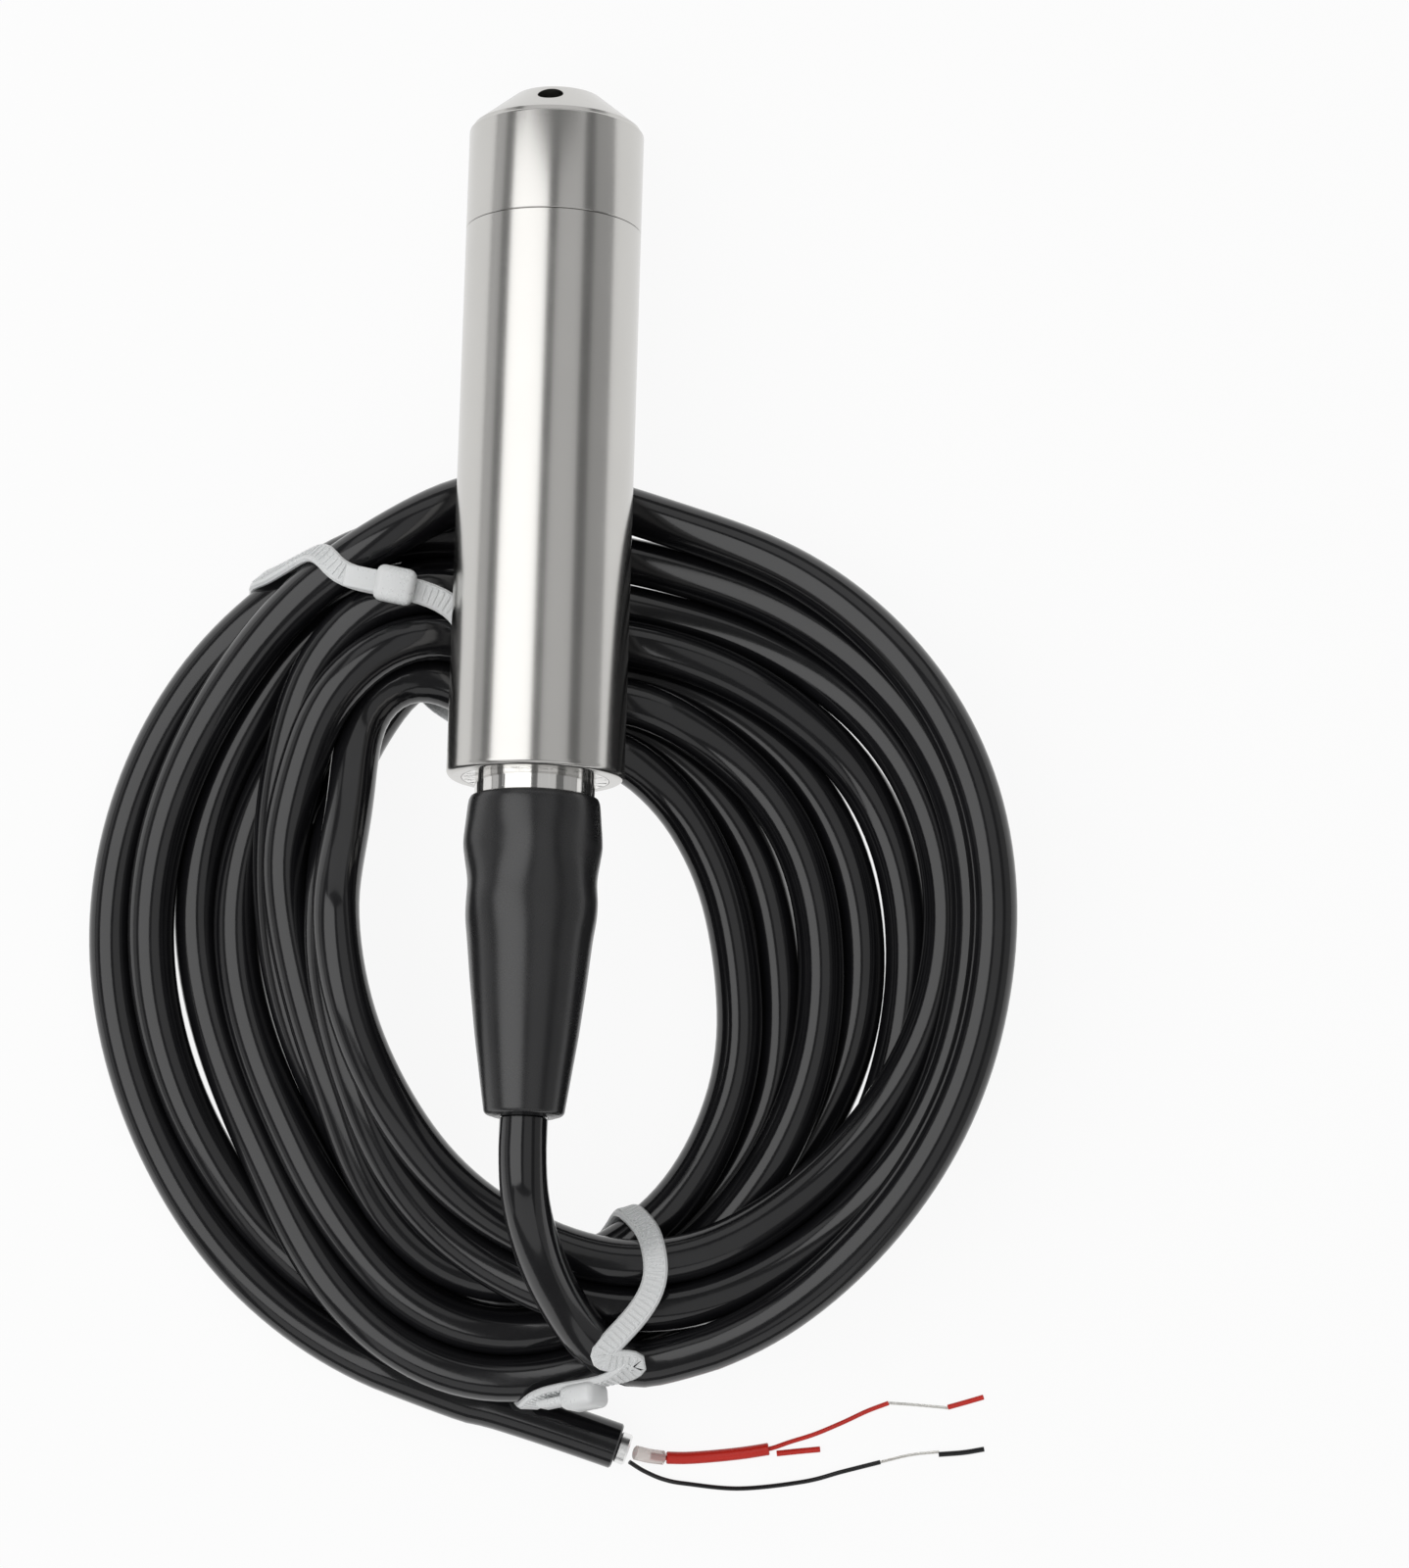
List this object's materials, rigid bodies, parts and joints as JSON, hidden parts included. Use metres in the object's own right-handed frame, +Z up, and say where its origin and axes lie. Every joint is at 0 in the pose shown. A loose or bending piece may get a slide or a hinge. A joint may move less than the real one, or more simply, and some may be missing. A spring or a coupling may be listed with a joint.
{
  "type": "submersible level transmitter",
  "caption": "Steel pressure probe with a holed nose cap and a moulded cable boot, lying nose down over its tied coil of black vented cable with stripped leads.",
  "frame": {"origin": "on the floor below the middle of the probe, from its nose face to the end of its boot, with the cable not counted", "axes": "+Y towards the nose as seen from above, +X to its right, +Z up; the probe itself leans 10.3 degrees nose down"},
  "size_m": [0.1367, 0.21, 0.0447],
  "materials": {
    "stainless_steel": "satin, finely turned round the body",
    "bright_steel": "bright turned",
    "tinned_copper": "bright strands and foil",
    "plated_contact": "thin gold plating",
    "black_rubber": "satin moulded",
    "black_jacket": "glossy extruded jacket",
    "clear_nylon": "translucent, undyed",
    "red_plastic": "satin extruded",
    "glass_seal": "dark fused glass",
    "board_green": "solder mask",
    "chip_black": "moulded",
    "fired_ceramic": null
  },
  "bodies": {
    "root": {"nose_cap": "stainless_steel", "housing_tube": "stainless_steel", "diaphragm_weld_ring": "stainless_steel", "isolating_diaphragm": "bright_steel", "sensor_capsule": "stainless_steel", "capsule_o_ring": "black_rubber", "capsule_header": "glass_seal", "header_pin_1": "plated_contact", "header_pin_2": "plated_contact", "header_pin_3": "plated_contact", "header_pin_4": "plated_contact", "header_pin_5": "plated_contact", "pressure_chip": "chip_black", "capsule_backing_ring": "stainless_steel", "insulating_sleeve": "clear_nylon", "circuit_board": "board_green", "amplifier_chip": "chip_black", "surge_arrester": "fired_ceramic", "capacitor_1": "fired_ceramic", "capacitor_2": "fired_ceramic", "capacitor_3": "fired_ceramic", "terminal_post_red": "plated_contact", "terminal_post_black": "plated_contact", "header_wire_1": "red_plastic", "header_wire_2": "black_jacket", "header_wire_3": "black_jacket", "header_wire_4": "black_jacket", "header_wire_5": "black_jacket", "supply_wire_red": "red_plastic", "supply_wire_black": "black_jacket", "vent_tube_inner": "clear_nylon", "gland_body": "bright_steel", "gland_o_ring": "black_rubber", "gland_grommet": "black_rubber", "gland_washer": "stainless_steel", "gland_nut": "stainless_steel", "gland_boot": "black_rubber", "cable_in_gland": "black_jacket", "cable_lead_in": "black_jacket", "cable_coil": "black_jacket", "cable_tail": "black_jacket", "cable_tie_top": "clear_nylon", "cable_tie_bottom": "clear_nylon", "shield_collar": "tinned_copper", "vent_tube_end": "clear_nylon", "red_sleeve": "red_plastic", "red_sleeve_tip": "red_plastic", "red_lead": "red_plastic", "red_lead_strands": "tinned_copper", "red_lead_slug": "red_plastic", "black_lead": "black_jacket", "black_lead_strands": "tinned_copper", "black_lead_slug": "black_jacket"}
  },
  "joints": []
}
